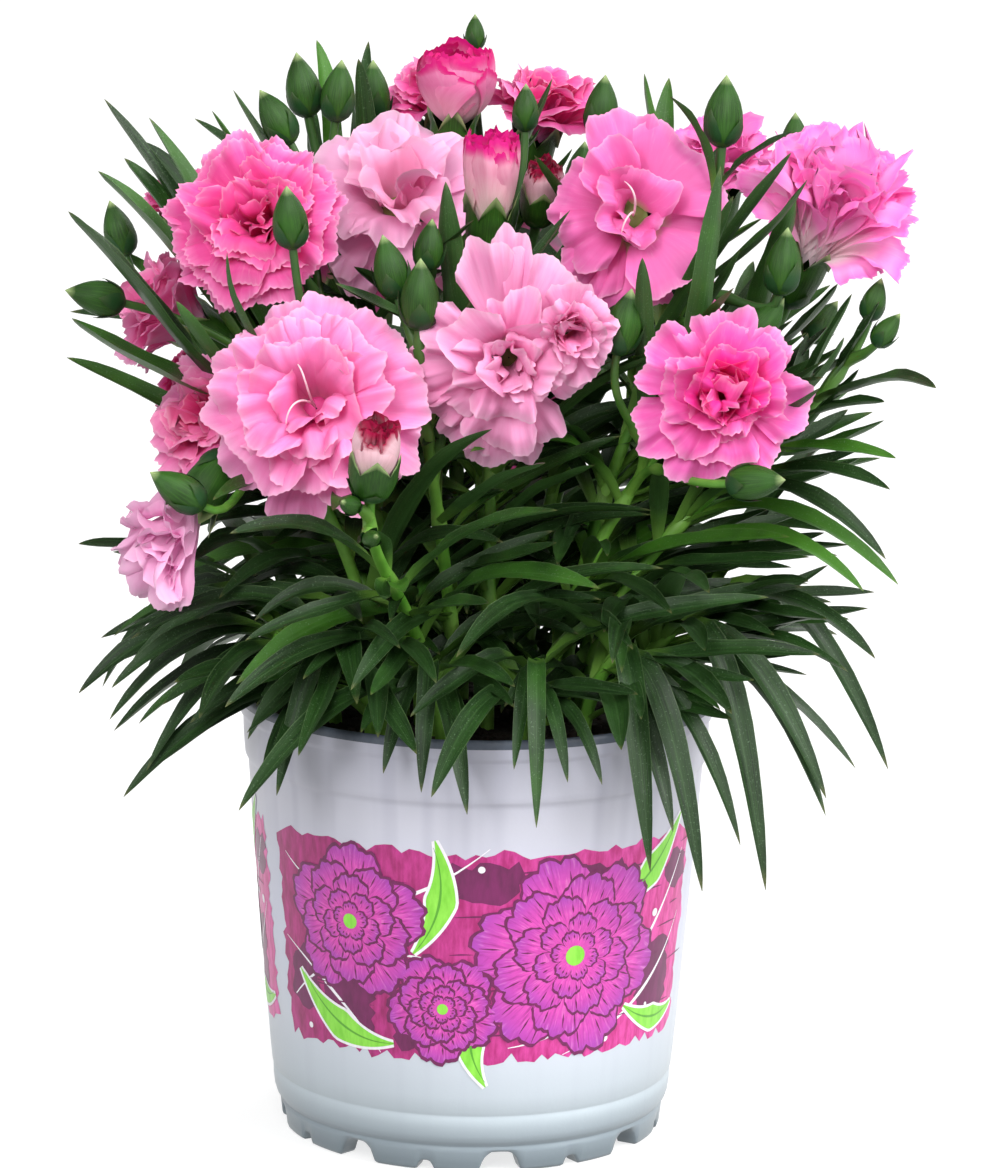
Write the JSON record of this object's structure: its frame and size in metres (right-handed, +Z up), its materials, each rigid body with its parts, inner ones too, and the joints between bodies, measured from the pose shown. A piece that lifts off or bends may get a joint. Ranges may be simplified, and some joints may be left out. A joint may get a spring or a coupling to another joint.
{
  "type": "dianthus plant",
  "caption": "Potted dwarf carnation: a bushy dianthus with narrow leaves, buds and double fringed pink blooms, rooted in soil in a tapered plastic nursery pot.",
  "frame": {"origin": "centre of the plane that the pot's feet stand on, on the pot's axis", "axes": "+Z up along the pot's axis, -Y towards the front, where the largest blooms face and the printed panel is"},
  "size_m": [0.2356, 0.216, 0.304],
  "materials": {
    "pot": "satin white plastic with a printed panel, grey inside",
    "soil": "crumbly, matte",
    "foliage": "waxy, satin",
    "petals_pink": "soft, translucent",
    "petals_pale": "soft, translucent",
    "petals_hot": "soft, translucent",
    "petals_mauve": "soft, translucent"
  },
  "bodies": {
    "root": {"pot": "pot", "soil": "soil", "stem_front_left": "foliage", "stem_front_centre": "foliage", "stem_front_right": "foliage", "stem_left_upper": "foliage", "stem_centre_pale": "foliage", "stem_right_upper": "foliage", "stem_far_right": "foliage", "stem_behind_right": "foliage", "stem_top": "foliage", "stem_top_right": "foliage", "stem_centre_half_open": "foliage", "stem_left_side": "foliage", "stem_left_drooping": "foliage", "stem_left_away": "foliage", "stem_front_opening": "foliage", "stem_buds_top_left": "foliage", "stem_buds_right": "foliage", "stem_buds_middle": "foliage", "stem_buds_far_right": "foliage", "stem_rear_left": "foliage", "stem_rear_right": "foliage", "stem_rear_centre": "foliage", "shoot_front_far_left": "foliage", "shoot_front_left": "foliage", "shoot_front_right": "foliage", "shoot_front_far_right": "foliage", "shoot_right_low": "foliage", "shoot_right": "foliage", "shoot_left_low": "foliage", "shoot_left": "foliage", "shoot_rear_left": "foliage", "shoot_rear": "foliage", "shoot_rear_right": "foliage", "bloom_front_left": "petals_pink", "bloom_front_centre": "petals_pale", "bloom_front_right": "petals_pink", "bloom_left_upper": "petals_hot", "bloom_centre_pale": "petals_pale", "bloom_right_upper": "petals_pink", "bloom_far_right": "petals_pink", "bloom_behind_right": "petals_pink", "bloom_top": "petals_hot", "bloom_top_behind": "petals_hot", "bloom_top_right": "petals_hot", "bloom_centre_half_open": "petals_pink", "bloom_centre_opening": "petals_hot", "bloom_left_side": "petals_hot", "bloom_left_drooping": "petals_mauve", "bloom_left_away": "petals_mauve", "bloom_left_back": "petals_pink", "bloom_front_opening": "petals_hot", "bloom_rear_left": "petals_pink", "bloom_rear_far_left": "petals_hot", "bloom_rear_centre": "petals_pale", "bloom_rear_low": "petals_pink", "bloom_rear_right": "petals_hot", "bloom_rear_far_right": "petals_pink"}
  },
  "joints": []
}
